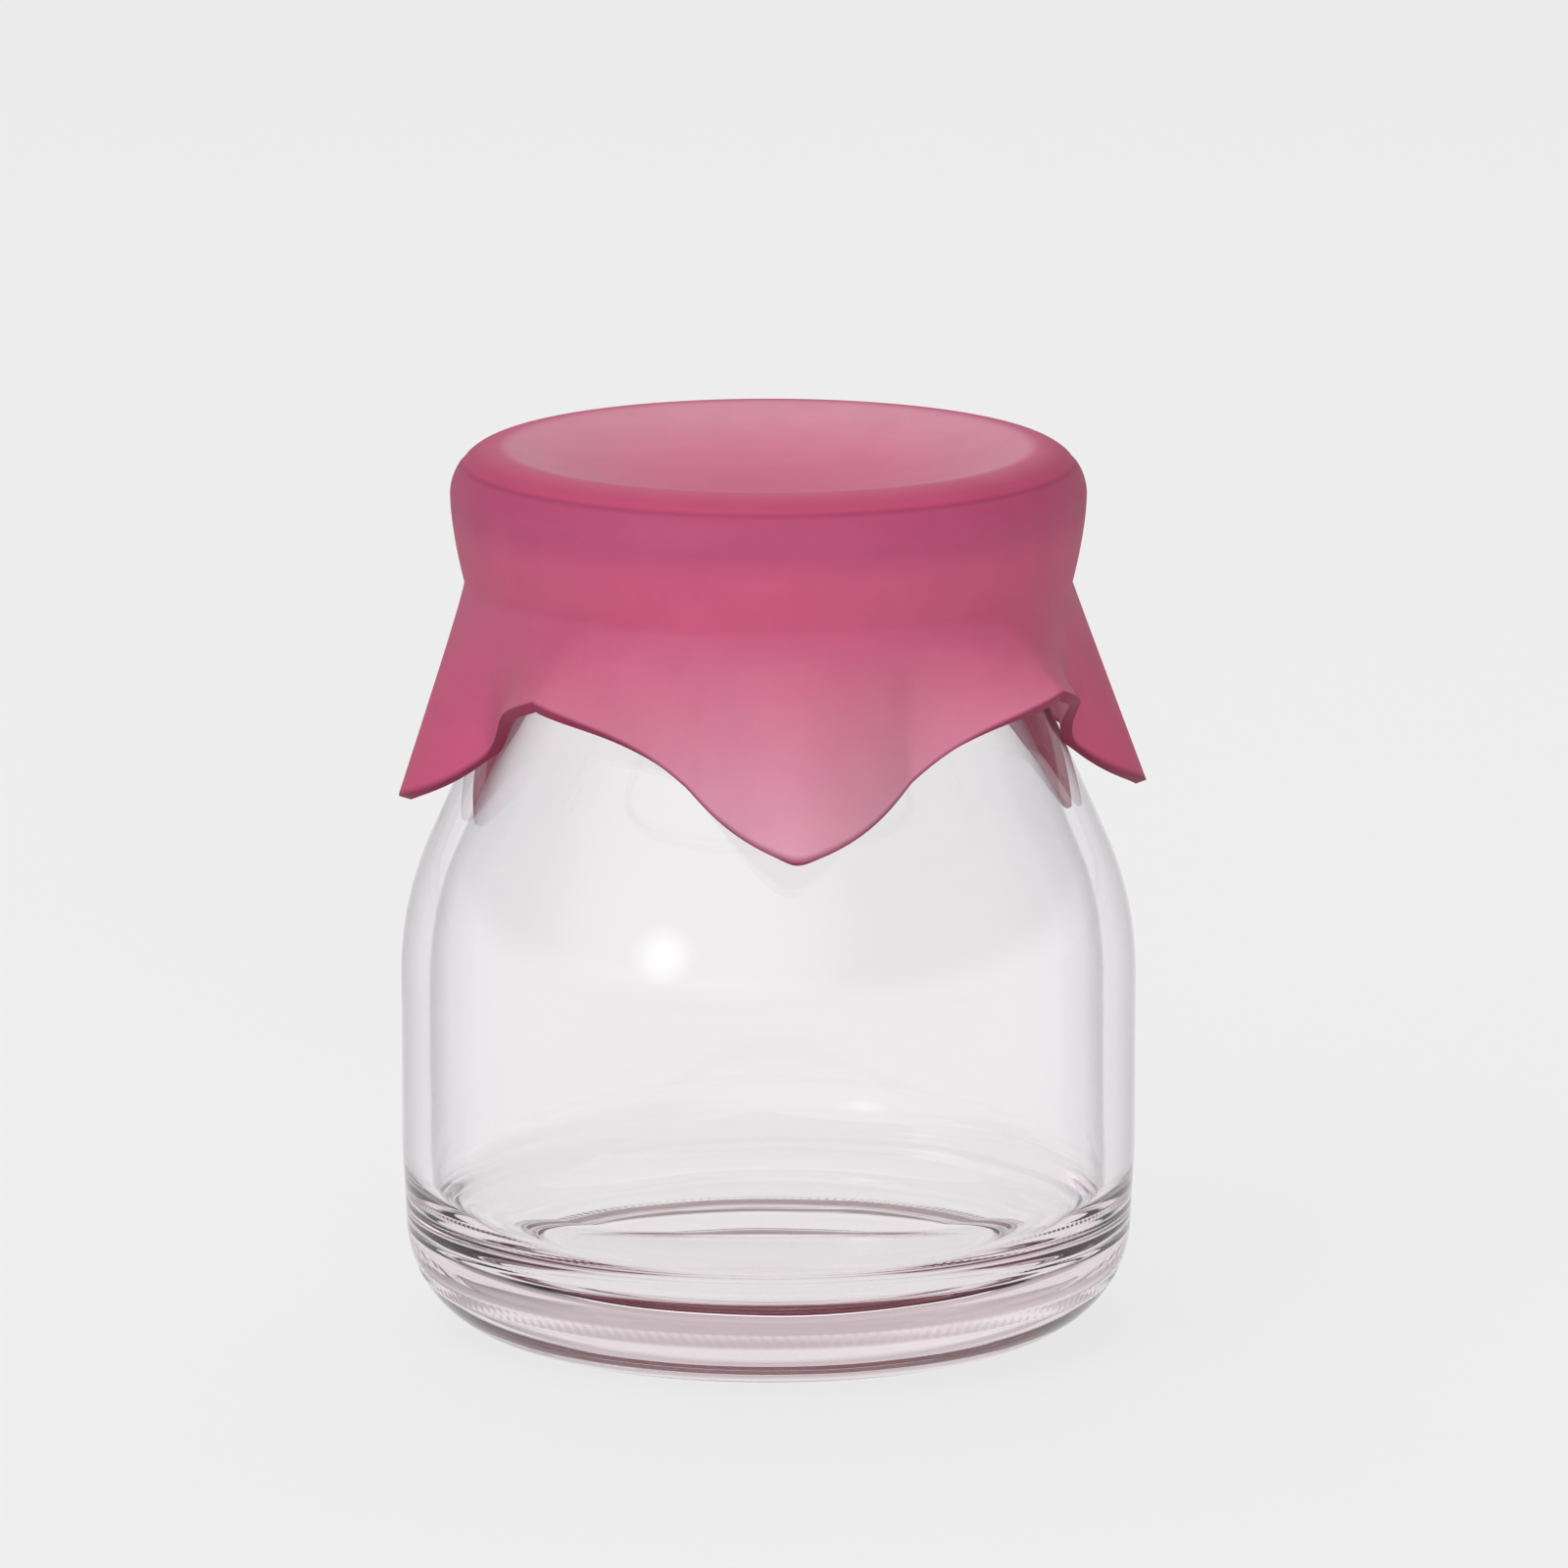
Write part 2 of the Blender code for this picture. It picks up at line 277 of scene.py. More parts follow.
def piece_from(bm, name, material, node):
    """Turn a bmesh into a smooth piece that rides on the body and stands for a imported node."""
    for face in bm.faces:
        face.smooth = True
    mesh = bpy.data.meshes.new(name)
    bm.to_mesh(mesh)
    bm.free()
    mesh.materials.append(material)
    piece = bpy.data.objects.new(name, mesh)
    bpy.context.scene.collection.objects.link(piece)
    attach(piece, "root")
    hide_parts(node)
    return piece


def shoulder(s, inset, steps):
    """Shoulder from the top of the straight body to the neck, moved inwards by inset."""
    slope = math.degrees(s.shoulder_slope)
    lean_cos = math.cos(s.shoulder_slope)
    lean_sin = math.sin(s.shoulder_slope)
    cone = (s.body_radius - s.neck_radius
            - (s.shoulder_arc + s.neck_arc) * (1 - lean_cos))
    cone_top = s.body_top + s.shoulder_arc * lean_sin + cone / math.tan(s.shoulder_slope)
    lower = arc(s.body_radius - s.shoulder_arc, s.body_top, s.shoulder_arc - inset,
                0, slope, steps)
    upper = arc(s.neck_radius + s.neck_arc, cone_top + s.neck_arc * lean_sin,
                s.neck_arc + inset, 180 + slope, 180, steps)
    return lower + line(lower[-1], upper[0], steps)[:-1] + upper


def heel(s):
    """Outer profile of the heel: a tight corner at the flat ring, then one round arc."""
    corner_end = math.degrees(s.ring_turn) - 90
    centre_r = s.ring - (s.heel - s.ring_corner) * math.sin(s.ring_turn)
    centre_z = s.ring_corner + (s.heel - s.ring_corner) * math.cos(s.ring_turn)
    corner = arc(s.ring, s.ring_corner, s.ring_corner, -90, corner_end, steps=3)
    return corner[:-1] + arc(centre_r, centre_z, s.heel, corner_end,
                             math.degrees(s.heel_turn) - 90, steps=24)


def jar_outside(s):
    """Outer profile from the bearing ring up to the top of the bead."""
    points = heel(s)
    points += line(points[-1], (s.body_radius, s.body_bottom), steps=2)
    points += line(points[-1], (s.body_radius, s.body_top), steps=3)[:-1]
    points += shoulder(s, inset=0.0, steps=10)
    points += line(points[-1], (s.neck_radius, s.bead_bottom - s.bead_under), steps=1)
    points += arc(s.bead_radius - s.bead_under, s.bead_bottom + s.bead_under, s.bead_under,
                  -90, 0, steps=5)
    points += arc(s.bead_radius - s.bead_rounding, s.bead_top - s.bead_rounding,
                  s.bead_rounding, 0, 90, steps=8)
    return points


def jar_inside(s):
    """Inner profile from the centre of the floor up to the top of the bead."""
    inner = s.body_radius - s.wall
    mouth = s.neck_radius - s.wall
    corner_r = inner - s.floor_corner
    points = [(0.0, s.floor)]
    points += line(points[0], (corner_r, s.floor), steps=5)[:-1]
    points += arc(corner_r, s.floor + s.floor_corner, s.floor_corner, -90, 0, steps=14)
    points += line(points[-1], (inner, s.body_top), steps=5)[:-1]
    points += shoulder(s, inset=s.wall, steps=10)
    points += line(points[-1], (mouth, s.bead_top - s.bead_rounding), steps=4)[:-1]
    points += arc(mouth + s.bead_rounding, s.bead_top - s.bead_rounding,
                  s.bead_rounding, 180, 90, steps=8)
    return points


def jar_underside(s):
    """Flat bearing ring, a small step, and the push-up to the axis."""
    ring_inner = s.ring - s.bearing
    rise = s.push_up - s.step
    points = line((s.ring, LOWEST), (ring_inner, LOWEST), steps=2)
    rows = 8
    for i in range(rows + 1):
        part = i / rows
        points.append(((ring_inner - s.step) * (1 - part),
                       s.step + rise * math.sin(part * math.pi / 2)))
    return points


def press_dots(bm, s):
    """Press tiny dimples into the middle of the ring it stands on and in a row round the heel."""
    middle = s.ring - s.bearing / 2
    heights = [vertex.co.z for vertex in bm.verts
               if math.hypot(vertex.co.x, vertex.co.y) > s.ring and vertex.co.z < s.heel]
    row = min(heights, key=lambda height: abs(height - s.dot_row))
    bm.normal_update()
    inwards = []
    for vertex in bm.verts:
        radius = math.hypot(vertex.co.x, vertex.co.y)
        on_ring = vertex.co.z < MERGE and abs(radius - middle) < s.bearing / 4
        on_heel = abs(vertex.co.z - row) < MERGE and radius > s.ring
        if on_ring or on_heel:
            azimuth = math.atan2(vertex.co.y, vertex.co.x)
            depth = s.dot_depth * (1 - math.cos(azimuth * s.dots)) / 2
            inwards.append((vertex, -depth * vertex.normal))
    for vertex, move in inwards:
        vertex.co += move


def wander(azimuth, height):
    """Slow waves between -1 and 1, like those that blowing leaves on the inside of a jar."""
    return sum(math.sin(waves * azimuth + climb * height + start)
               for waves, climb, start in WALL_WAVES) / len(WALL_WAVES)


def uneven_inside(bm, s):
    """Let the inside wall wander a little in and out."""
    bm.normal_update()
    for vertex in bm.verts:
        outwards = Vector((vertex.co.x, vertex.co.y, 0.0))
        if outwards.length < MERGE or vertex.co.z < s.floor:
            continue
        outwards.normalize()
        inward_facing = -vertex.normal.dot(outwards)
        if inward_facing > 0:
            azimuth = math.atan2(vertex.co.y, vertex.co.x)
            vertex.co += outwards * (s.unevenness * inward_facing
                                     * wander(azimuth, vertex.co.z))


def crown_profile(s):
    """Outer profile of the cap from the centre of its dish down to the pinch."""
    slope = math.degrees(s.dish_slope)
    centre_z = s.crest_height - s.crest_rounding
    crest = []
    for r, z in arc(s.crest_radius, centre_z, s.crest_rounding, 90 + slope, 0, steps=48):
        off = (z - s.groove_height) / s.groove_width
        cut = s.groove_depth * math.exp(-off * off) if r > s.crest_radius else 0.0
        shrink = 1 - cut / s.crest_rounding
        crest.append((s.crest_radius + (r - s.crest_radius) * shrink,
                      centre_z + (z - centre_z) * shrink))
    edge_r, edge_z = crest[0]
    dish_radius = edge_r / math.sin(s.dish_slope)
    dish = arc(0.0, edge_z + dish_radius * math.cos(s.dish_slope), dish_radius,
               270, 270 + slope, steps=16)
    top_r, top_z = crest[-1]
    side = []
    rows = 14
    for i in range(1, rows + 1):
        part = i / rows
        side.append((top_r + (s.pinch_radius - top_r) * part ** s.side_power,
                     top_z + (s.pinch_height - top_z) * part))
    return dish[:-1] + crest + side


def nearest_point(s, azimuth):
    """Number of the nearest long point, and the way from its middle, 0, to a flare's middle, 1."""
    sector = 2 * math.pi / len(s.point_radii)
    number = round(azimuth / sector)
    return number % len(s.point_radii), abs(azimuth - number * sector) / (sector / 2)


def eased(way, softness):
    """The way from 0 to 1 with its sharp start at 0 rounded off."""
    return (math.hypot(way, softness) - softness) / (math.hypot(1, softness) - softness)


def hem(s, point, way):
    """Radius and height of the hem: folded at the long points, and a soft flare between two."""
    if way < s.crease_share:
        from_crease = 1 - eased(way / s.crease_share, s.fold_softness)
        reach = (s.point_radii[point] - s.crease_radius) * from_crease ** s.point_power
    else:
        from_crease = (way - s.crease_share) / (1 - s.crease_share)
        swell = math.sin(from_crease * math.pi / 2)
        reach = (s.flare_radius - s.crease_radius) * swell ** s.flare_power
    rise = eased(way, s.tip_softness)
    climb = rise - s.hem_wave * math.sin(2 * math.pi * rise)
    return s.crease_radius + reach, s.point_height + (s.flare_height - s.point_height) * climb


def shape_skirt(bm, s):
    """Run the skirt from the pinch to the hem, straight at the points and bell-like at the flares."""
    hem_line = bm.verts.layers.float.new(HEM_LINE)
    for vertex in bm.verts:
        part = (s.pinch_height - vertex.co.z) / (s.pinch_height - s.point_height)
        if part <= MERGE:
            continue
        # Mark the hem's last row for its line of painted shade.
        vertex[hem_line] = 1.0 if part > 1 - MERGE else 0.0
        azimuth = math.atan2(vertex.co.y, vertex.co.x)
        point, way = nearest_point(s, azimuth)
        hem_r, hem_z = hem(s, point, way)
        bell = 1 + s.flare_bell * way
        r = s.pinch_radius + (hem_r - s.pinch_radius) * part ** bell
        azimuth += s.point_turns[point] * part * (1 - way) ** 2
        vertex.co.x = r * math.cos(azimuth)
        vertex.co.y = r * math.sin(azimuth)
        vertex.co.z = s.pinch_height + (hem_z - s.pinch_height) * part


def new_material(name):
    """A material with nodes, its Principled shader and its output."""
    material = bpy.data.materials.new(name)
    material.use_nodes = True
    tree = material.node_tree
    return material, tree, tree.nodes["Principled BSDF"], tree.nodes["Material Output"]


def feed(tree, value, socket):
    """Give a socket its value, which is a constant or the output of another node."""
    if isinstance(value, bpy.types.NodeSocket):
        tree.links.new(value, socket)
    else:
        socket.default_value = value


def place_axes(tree):
    """The piece's own Object coordinates as X, Y and Z."""
    place = tree.nodes.new('ShaderNodeTexCoord')
    axes = tree.nodes.new('ShaderNodeSeparateXYZ')
    tree.links.new(place.outputs["Object"], axes.inputs[0])
    return axes


def object_noise(tree, scale, detail):
    """Noise on the piece's own Object coordinates."""
    place = tree.nodes.new('ShaderNodeTexCoord')
    noise = tree.nodes.new('ShaderNodeTexNoise')
    noise.inputs["Scale"].default_value = scale
    noise.inputs["Detail"].default_value = detail
    tree.links.new(place.outputs["Object"], noise.inputs["Vector"])
    return noise


def ramp_between(tree, value, stops):
    """Colours along a value, as (place, colour) stops in rising order."""
    ramp = tree.nodes.new('ShaderNodeValToRGB')
    elements = ramp.color_ramp.elements
    while len(elements) < len(stops):
        elements.new(1.0)
    for element, (place, tint) in zip(elements, stops):
        element.position = place
        element.color = (*tint, 1.0)
    tree.links.new(value, ramp.inputs["Fac"])
    return ramp.outputs["Color"]


def mixed(tree, share_of_second, first, second, how='MIX'):
    """Two colours mixed; each input is a constant or the output of another node."""
    mix = tree.nodes.new('ShaderNodeMix')
    mix.data_type = 'RGBA'
    mix.blend_type = how
    sockets = {socket.name: socket for socket in mix.inputs if socket.enabled}
    feed(tree, share_of_second, sockets["Factor"])
    for name, tint in (("A", first), ("B", second)):
        if not isinstance(tint, bpy.types.NodeSocket):
            tint = (*tint, 1.0)
        feed(tree, tint, sockets[name])
    return [socket for socket in mix.outputs if socket.enabled][0]


def spread_over(tree, value, low, high):
    """A value moved from the range low to high into 0 to 1, and held there."""
    spread = tree.nodes.new('ShaderNodeMapRange')
    spread.inputs["From Min"].default_value = low
    spread.inputs["From Max"].default_value = high
    tree.links.new(value, spread.inputs["Value"])
    return spread.outputs["Result"]


def eased_range(tree, value, start, end, low, high):
    """A value between start and end turned softly into one between low and high."""
    eased_value = tree.nodes.new('ShaderNodeMapRange')
    eased_value.interpolation_type = 'SMOOTHSTEP'
    eased_value.inputs["From Min"].default_value = start
    eased_value.inputs["From Max"].default_value = end
    eased_value.inputs["To Min"].default_value = low
    eased_value.inputs["To Max"].default_value = high
    tree.links.new(value, eased_value.inputs["Value"])
    return eased_value.outputs["Result"]


def calculated(tree, how, first, second):
    """The result of one calculation with two node outputs."""
    step = tree.nodes.new('ShaderNodeMath')
    step.operation = how
    tree.links.new(first, step.inputs[0])
    tree.links.new(second, step.inputs[1])
    return step.outputs[0]


def vector_step(tree, how, *vectors):
    """The node of one calculation with vectors."""
    step = tree.nodes.new('ShaderNodeVectorMath')
    step.operation = how
    for vector, socket in zip(vectors, step.inputs):
        feed(tree, vector, socket)
    return step


def fine_relief(tree, scale, detail, strength, depth):
    """A surface direction that noise makes a little uneven."""
    bump = tree.nodes.new('ShaderNodeBump')
    bump.inputs["Strength"].default_value = strength
    bump.inputs["Distance"].default_value = depth
    tree.links.new(object_noise(tree, scale, detail).outputs["Fac"], bump.inputs["Height"])
    return bump.outputs["Normal"]


def blended_surface(tree, share_of_second, first, second, output):
    """Two shaders blended into the surface of the material."""
    mix = tree.nodes.new('ShaderNodeMixShader')
    feed(tree, share_of_second, mix.inputs[0])
    tree.links.new(first.outputs["BSDF"], mix.inputs[1])
    tree.links.new(second.outputs["BSDF"], mix.inputs[2])
    tree.links.new(mix.outputs[0], output.inputs["Surface"])


def painted_wall_edge_shade(tree, sizes):
    """Clear where the wall faces the eye, and greyer towards its edges by painted shade; the base
    stays clear.
    """
    # Painted shade: the wall's colour darkens towards its edges.
    edges = tree.nodes.new('ShaderNodeLayerWeight')
    painted_edge_shade = ramp_between(tree, edges.outputs["Facing"], (
        (0.30, WHITE), (0.50, (0.97, 0.965, 0.98)),
        (0.68, (0.72, 0.71, 0.735)), (0.85, (0.22, 0.21, 0.23))))
    above_floor = 0.0005
    on_wall = spread_over(tree, place_axes(tree).outputs["Z"],
                          sizes.floor + above_floor, sizes.body_bottom)
    return mixed(tree, on_wall, WHITE, painted_edge_shade)


def clear_glass(finish, sizes):
    """Polished soda-lime glass that lets the lamps through, so that the inside stays bright."""
    material, tree, shader, output = new_material("clear_glass")
    # The wall's colour carries painted shade towards its edges.
    tree.links.new(painted_wall_edge_shade(tree, sizes), shader.inputs["Base Color"])
    shader.inputs["Roughness"].default_value = 0.0
    shader.inputs["IOR"].default_value = 1.5
    shader.inputs["Transmission Weight"].default_value = 1.0
    ripple = fine_relief(tree, scale=90.0, detail=1.0, strength=0.02, depth=0.002)
    tree.links.new(ripple, shader.inputs["Normal"])
    path = tree.nodes.new('ShaderNodeLightPath')
    lamp_light = tree.nodes.new('ShaderNodeBsdfTransparent')
    lamp_light.inputs["Color"].default_value = (*WHITE, 1.0)
    blended_surface(tree, path.outputs["Is Shadow Ray"], shader, lamp_light, output)
    depth = tree.nodes.new('ShaderNodeVolumeAbsorption')
    depth.inputs["Color"].default_value = (*finish.glass_depth, 1.0)
    depth.inputs["Density"].default_value = finish.glass_density
    tree.links.new(depth.outputs["Volume"], output.inputs["Volume"])
    return material


def painted_bands_by_height(finish, sizes, lowest):
    """Colour stops from the ends of the points up to the crest, as (height, colour): one rose plastic
    in lighter and darker copies, painted light and shade by height.
    """
    half_line = sizes.groove_width * 1.5
    bead_edge = 0.0636
    blur = 0.0004
    bead_blur = 0.0010
    return (
        (sizes.point_height, lowest),
        (sizes.pinch_height - blur, finish.skirt),
        (sizes.pinch_height + blur, finish.crown_low),
        (bead_edge - bead_blur, finish.crown_low),
        (bead_edge + bead_blur, finish.crown),
        (sizes.groove_height - half_line, finish.crown),
        # Painted shade: the groove is darker.
        (sizes.groove_height, finish.groove),
        (sizes.groove_height + half_line, finish.crest),
        (sizes.crest_height, finish.crest),
    )


def side_colour(tree, finish, sizes):
    """Rose by height on the side of the cap in painted light and shade, and paler at the end of the
    front point by painted light.
    """
    axes = place_axes(tree)
    low, high = sizes.point_height, sizes.crest_height
    height = spread_over(tree, axes.outputs["Z"], low, high)
    around, front = [
        ramp_between(tree, height, [((at - low) / (high - low), tint)
                                    for at, tint in painted_bands_by_height(finish, sizes, lowest)])
        for lowest in (finish.sides, finish.tip)]
    # Painted light: the end of the front point is paler than the sides and the back.
    front_begins, front_ends = -0.010, -0.024
    painted_front_light_share = spread_over(tree, axes.outputs["Y"], front_begins, front_ends)
    return mixed(tree, painted_front_light_share, around, front)


def cap_colour(tree, finish, sizes):
    """The colours of dish, side, lining and hem, with faint clouding in the plastic; the paler dish
    is a painted sheen, the paler lining painted light and the darker hem painted shade.
    """
    place = tree.nodes.new('ShaderNodeTexCoord')
    level = (1.0, 1.0, 0.0)
    outwards = vector_step(tree, 'MULTIPLY', place.outputs["Object"], level).outputs["Vector"]
    radius = vector_step(tree, 'LENGTH', outwards).outputs["Value"]
    rim = sizes.crest_radius
    inside_rim, outside_rim = 0.0012, 0.0020
    on_side = spread_over(tree, radius, rim - inside_rim, rim + outside_rim)
    # Painted light and sheen: the dish is a paler copy of the side's plastic.
    skin = mixed(tree, on_side, finish.dish, side_colour(tree, finish, sizes))
    facing = vector_step(tree, 'DOT_PRODUCT', outwards, place.outputs["Normal"])
    # Painted light: the inside of the skirt is made paler.
    on_lining = spread_over(tree, facing.outputs["Value"], 0.0, -rim / 4)
    with_painted_lining_light = mixed(tree, on_lining, skin, finish.lining)
    # Painted shade: a darker line along the hem's last row.
    hem_line = tree.nodes.new('ShaderNodeAttribute')
    hem_line.attribute_name = HEM_LINE
    with_painted_hem_shade = mixed(tree, hem_line.outputs["Fac"], with_painted_lining_light, finish.hem)
    clouds = object_noise(tree, scale=300.0, detail=6.0)
    cloud_light = ramp_between(tree, clouds.outputs["Fac"],
                               ((0.3, (0.94, 0.92, 0.94)), (0.7, WHITE)))
    return mixed(tree, 1.0, with_painted_hem_shade, cloud_light, 'MULTIPLY')


def rose_plastic(finish, sizes):
    """Soft translucent polyethylene: satin skin with a fine grain, and light coming through."""
    material, tree, shader, output = new_material("rose_plastic")
    tree.links.new(cap_colour(tree, finish, sizes), shader.inputs["Base Color"])
    shader.inputs["Roughness"].default_value = 0.55
    shader.inputs["IOR"].default_value = 1.5
    shader.inputs["Specular IOR Level"].default_value = 0.3
    grain = fine_relief(tree, scale=5200.0, detail=2.0, strength=0.12, depth=0.0001)
    tree.links.new(grain, shader.inputs["Normal"])
    through = tree.nodes.new('ShaderNodeBsdfTranslucent')
    through.inputs["Color"].default_value = (*finish.through, 1.0)
    tree.links.new(grain, through.inputs["Normal"])
    blended_surface(tree, finish.translucence, shader, through, output)
    return material


def pale_floor_material(finish):
    """A matt floor that glows a little, as on a light table."""
    material, tree, shader, output = new_material("pale_floor")
    shader.inputs["Base Color"].default_value = (*finish.floor, 1.0)
    shader.inputs["Emission Color"].default_value = (*WHITE, 1.0)
    shader.inputs["Emission Strength"].default_value = finish.floor_glow
    shader.inputs["Roughness"].default_value = 0.9
    shader.inputs["Specular IOR Level"].default_value = 0.1
    return material


class PUDDINGJAR_OT_glass(bpy.types.Operator):
    """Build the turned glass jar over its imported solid."""

    bl_idname = "pudding_jar.glass"
    bl_label = "Glass jar"

    def execute(self, context):
        s = context.scene.pudding_jar.jar
        profile = jar_inside(s) + list(reversed(jar_outside(s))) + jar_underside(s)
        bm = spun(profile, s.dots * STEPS_A_DOT)
        if bm.calc_volume(signed=True) < 0:
            bmesh.ops.reverse_faces(bm, faces=bm.faces[:])
        uneven_inside(bm, s)
        press_dots(bm, s)
        finish = context.scene.pudding_jar.finish
        piece_from(bm, "glass", clear_glass(finish, s), "glass_jar")
        return {'FINISHED'}


class PUDDINGJAR_OT_cap(bpy.types.Operator):
    """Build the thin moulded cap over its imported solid."""

    bl_idname = "pudding_jar.cap"
    bl_label = "Cap"

    def execute(self, context):
        s = context.scene.pudding_jar.cap
        profile = crown_profile(s)
        hem_start = s.point_height + s.hem_line
        profile += line((s.pinch_radius, s.pinch_height), (s.pinch_radius, hem_start), 26)
        profile.append((s.pinch_radius, s.point_height))
        bm = spun(profile, s.steps)
        shape_skirt(bm, s)
        bmesh.ops.recalc_face_normals(bm, faces=bm.faces[:])
        top = max(bm.faces, key=lambda face: face.calc_center_median().z)
        if top.normal.z < 0:
            bmesh.ops.reverse_faces(bm, faces=bm.faces[:])
        finish = context.scene.pudding_jar.finish
        piece = piece_from(bm, "moulded_cap", rose_plastic(finish, s), "cap")
        shell = piece.modifiers.new("Wall", 'SOLIDIFY')
        shell.thickness = s.wall
        shell.offset = -1.0
        shell.use_even_offset = True
        edge = piece.modifiers.new("Hem edge", 'BEVEL')
        edge.width = s.hem_edge
        edge.segments = 2
        edge.limit_method = 'ANGLE'
        edge.angle_limit = math.radians(50)
        return {'FINISHED'}


def add_floor(context):
    """A wide round floor a hair below the jar."""
    bm = bmesh.new()
    bmesh.ops.create_circle(bm, cap_ends=True, segments=96, radius=4.0,
                            matrix=Matrix.Translation((0.0, 0.0, LOWEST - FLOOR_GAP)))
    mesh = bpy.data.meshes.new("stage_floor")
    bm.to_mesh(mesh)
    bm.free()
    mesh.materials.append(pale_floor_material(context.scene.pudding_jar.finish))
    floor = bpy.data.objects.new("stage_floor", mesh)
    context.scene.collection.objects.link(floor)


def add_light(context, name, shape, place, size, power):
    """A soft area light at place that faces the middle of the jar."""
    data = bpy.data.lights.new(name, 'AREA')
    data.shape = shape
    data.size, data.size_y = size
    data.energy = power
    light = bpy.data.objects.new(name, data)
    light.location = place
    middle = Vector((0.0, 0.0, 0.035))
    light.rotation_euler = (middle - light.location).to_track_quat('-Z', 'Y').to_euler()
    context.scene.collection.objects.link(light)
    return light


def add_soft_lamp(context, name, place, width, power):
    """A round lamp that is brightest in its middle, from discs of falling width."""
    discs = 6
    gap = 0.002
    for i in range(discs):
        part = (i + 1) / discs
        add_light(context, f"{name}_{i}", 'DISK', Vector(place) * (1 + gap * i),
                  (width * part, width * part), power * part ** 2)


def add_lights(context):
    """Soft light from the top and the front, and a round lamp that glints on the glass."""
    s = context.scene.pudding_jar.stage
    add_light(context, "top_softbox", 'RECTANGLE', (0.0, 0.1, 1.1), (1.6, 1.6), s.top_power)
    front = add_light(context, "front_softbox", 'RECTANGLE', (0.0, -1.6, 0.45), (0.7, 0.6),
                      s.front_power)
    left = add_light(context, "left_softbox", 'RECTANGLE', (-1.3, -0.1, 0.3), (0.8, 0.8),
                     s.left_power)
    left.data.color = s.left_colour
    for light in (front, left):
        light.visible_glossy = False
        light.visible_transmission = False
    add_soft_lamp(context, "left_lamp", (-0.75, -0.85, 0.365), s.lamp_width, s.lamp_power)


def add_world(context):
    """A studio with a bright horizon, bright in front and behind, and darker at the sides."""
    world = bpy.data.worlds.new("studio")
    world.use_nodes = True
    tree = world.node_tree
    background = tree.nodes["Background"]
    place = tree.nodes.new('ShaderNodeTexCoord')
    axes = tree.nodes.new('ShaderNodeSeparateXYZ')
    tree.links.new(place.outputs["Generated"], axes.inputs[0])
    towards = vector_step(tree, 'DOT_PRODUCT', place.outputs["Generated"], FRONT_LIGHT_FROM)
    s = context.scene.pudding_jar.stage
    height = axes.outputs["Z"]
    back = eased_range(tree, axes.outputs["Y"], start=0.1, end=0.9,
                       low=s.side_light, high=s.back_light)
    front = eased_range(tree, towards.outputs["Value"], start=0.45, end=1.0,
                        low=0.0, high=s.front_light)
    horizon_end = 0.25
    above = eased_range(tree, height, 0.0, horizon_end, low=0.0, high=1.0)
    horizon = eased_range(tree, height, 0.0, horizon_end, low=s.horizon_light, high=0.0)
    directed = calculated(tree, 'MULTIPLY', calculated(tree, 'ADD', back, front), above)
    tree.links.new(calculated(tree, 'ADD', directed, horizon), background.inputs["Strength"])
    rise = eased_range(tree, height, start=0.10, end=0.24, low=0.0, high=1.0)
    tint = ramp_between(tree, rise, ((0.0, s.low_tint), (1.0, s.high_tint)))
    tree.links.new(tint, background.inputs["Color"])
    context.scene.world = world


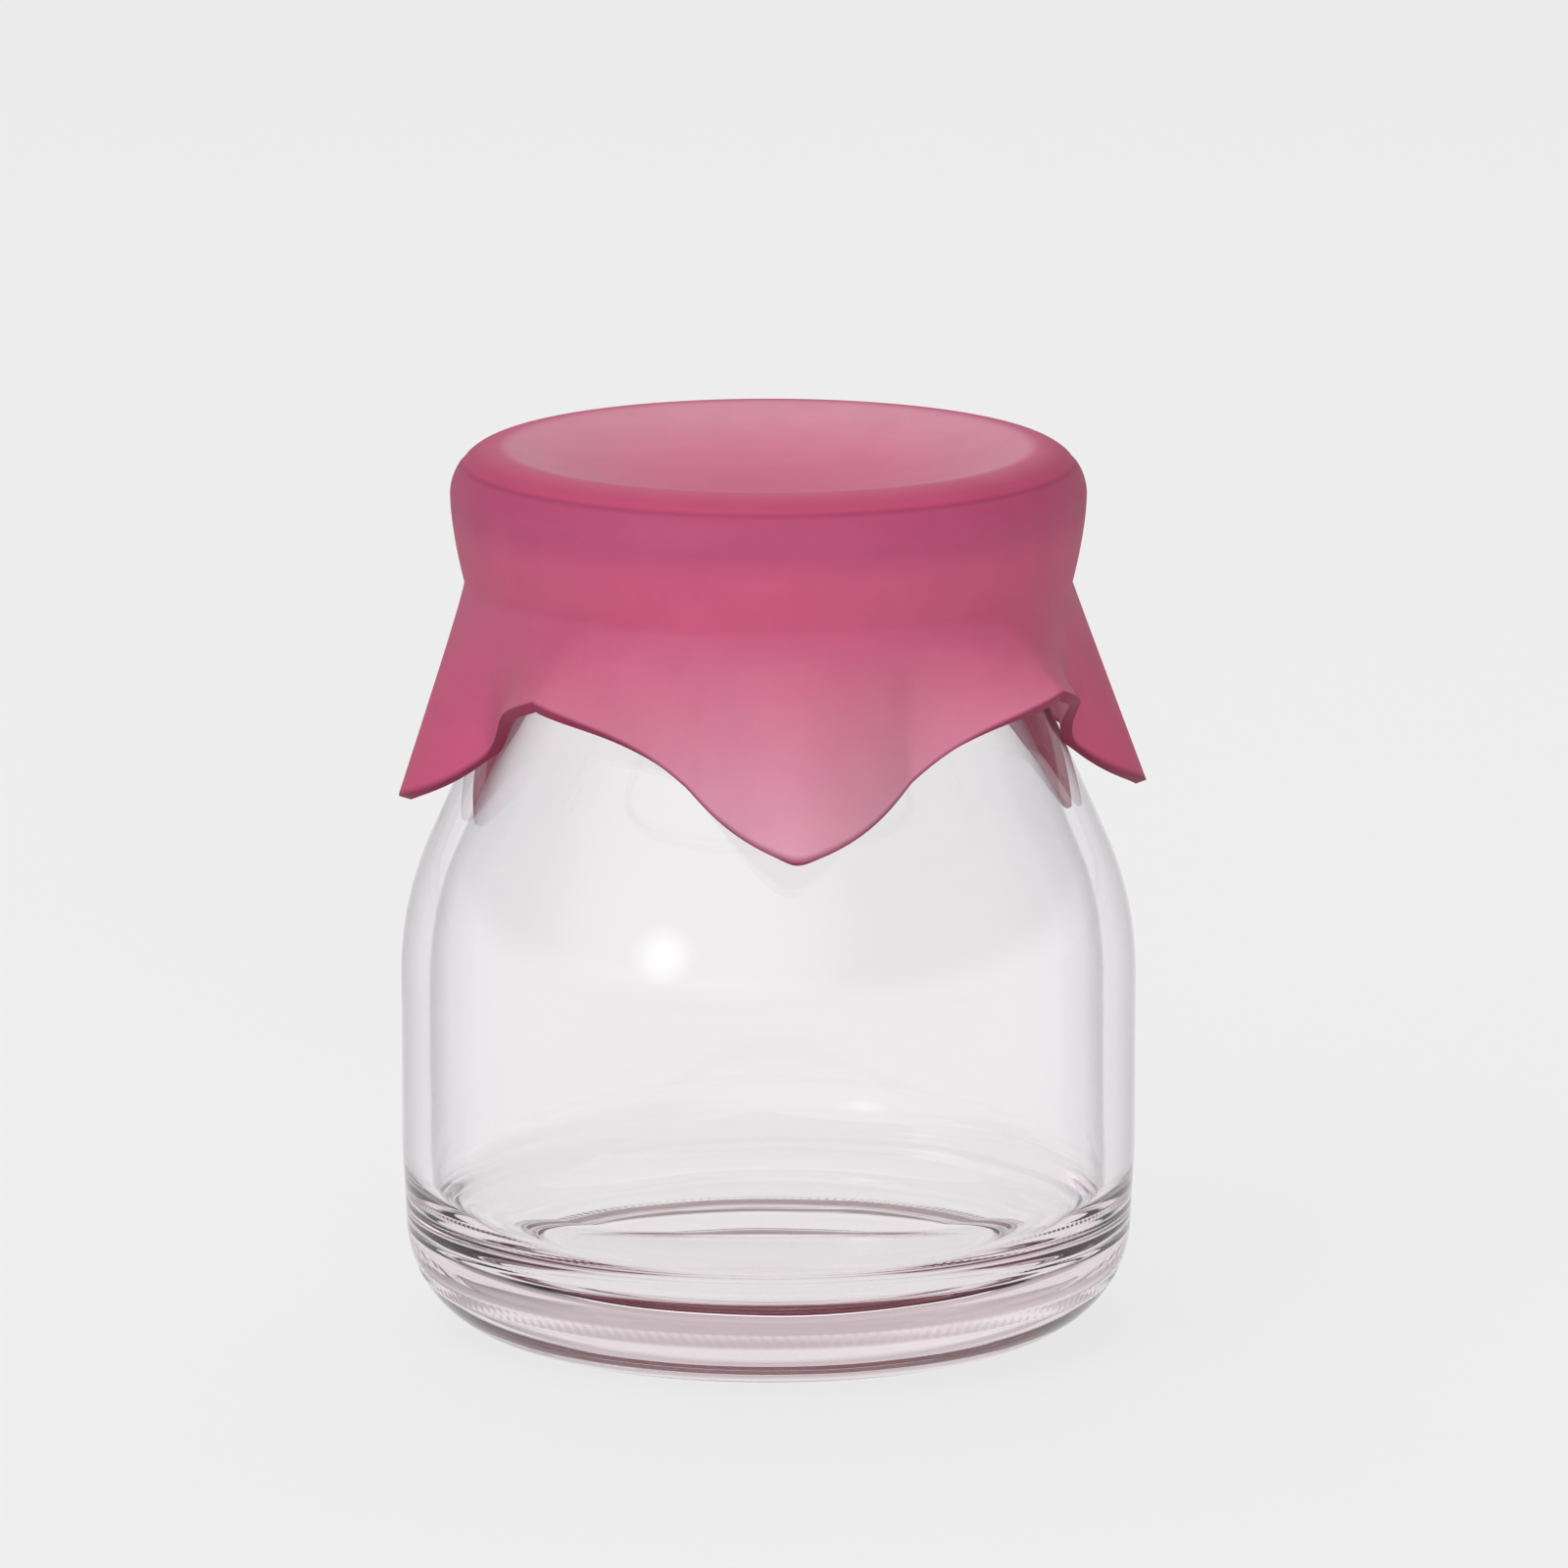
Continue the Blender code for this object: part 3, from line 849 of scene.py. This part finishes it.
def add_camera(context):
    """A long lens at the photograph's height and turn round the jar."""
    s = context.scene.pudding_jar.stage
    back = Vector((math.sin(s.azimuth) * math.cos(s.elevation),
                   -math.cos(s.azimuth) * math.cos(s.elevation), math.sin(s.elevation)))
    right = Vector((math.cos(s.azimuth), math.sin(s.azimuth), 0.0))
    up = back.cross(right)
    middle = Vector((0.0, 0.0, s.aim_height))
    aim = middle + right * s.aim_right + up * s.aim_up
    data = bpy.data.cameras.new("camera")
    data.lens = s.lens
    data.sensor_width = SENSOR_WIDTH
    camera = bpy.data.objects.new("camera", data)
    camera.location = middle + back * s.distance
    camera.rotation_euler = (aim - camera.location).to_track_quat('-Z', 'Y').to_euler()
    context.scene.collection.objects.link(camera)
    context.scene.camera = camera


class PUDDINGJAR_OT_stage(bpy.types.Operator):
    """Set the pale floor, the soft lights, the studio round them and the camera."""

    bl_idname = "pudding_jar.stage"
    bl_label = "Stage"

    def execute(self, context):
        add_floor(context)
        add_lights(context)
        add_world(context)
        add_camera(context)
        context.scene.view_settings.view_transform = 'Standard'
        context.scene.cycles.max_bounces = LIGHT_PATHS
        context.scene.cycles.transmission_bounces = LIGHT_PATHS
        context.scene.cycles.glossy_bounces = LIGHT_PATHS
        return {'FINISHED'}


class PUDDINGJAR_PT_panel(bpy.types.Panel):
    """Lists the pieces and their sizes."""

    bl_idname = "PUDDINGJAR_PT_panel"
    bl_label = "Pudding Jar"
    bl_space_type = 'VIEW_3D'
    bl_region_type = 'UI'
    bl_category = "Pudding Jar"

    def draw(self, context):
        settings = context.scene.pudding_jar
        for operator in OPERATORS:
            self.layout.operator(operator.bl_idname)
        for group in (settings.jar, settings.cap, settings.finish, settings.stage):
            box = self.layout.box()
            for name in group.bl_rna.properties.keys():
                if name not in ("rna_type", "name"):
                    box.prop(group, name)


OPERATORS = (PUDDINGJAR_OT_glass, PUDDINGJAR_OT_cap, PUDDINGJAR_OT_stage)
CLASSES = (JarSizes, CapSizes, Finishes, StageSizes, JarSettings) + OPERATORS + (
    PUDDINGJAR_PT_panel,)


def register():
    for item in CLASSES:
        bpy.utils.register_class(item)
    bpy.types.Scene.pudding_jar = bpy.props.PointerProperty(type=JarSettings)


def unregister():
    del bpy.types.Scene.pudding_jar
    for item in reversed(CLASSES):
        bpy.utils.unregister_class(item)


def main():
    register()
    bpy.ops.pudding_jar.glass()
    bpy.ops.pudding_jar.cap()
    bpy.ops.pudding_jar.stage()


if __name__ == "__main__":
    main()
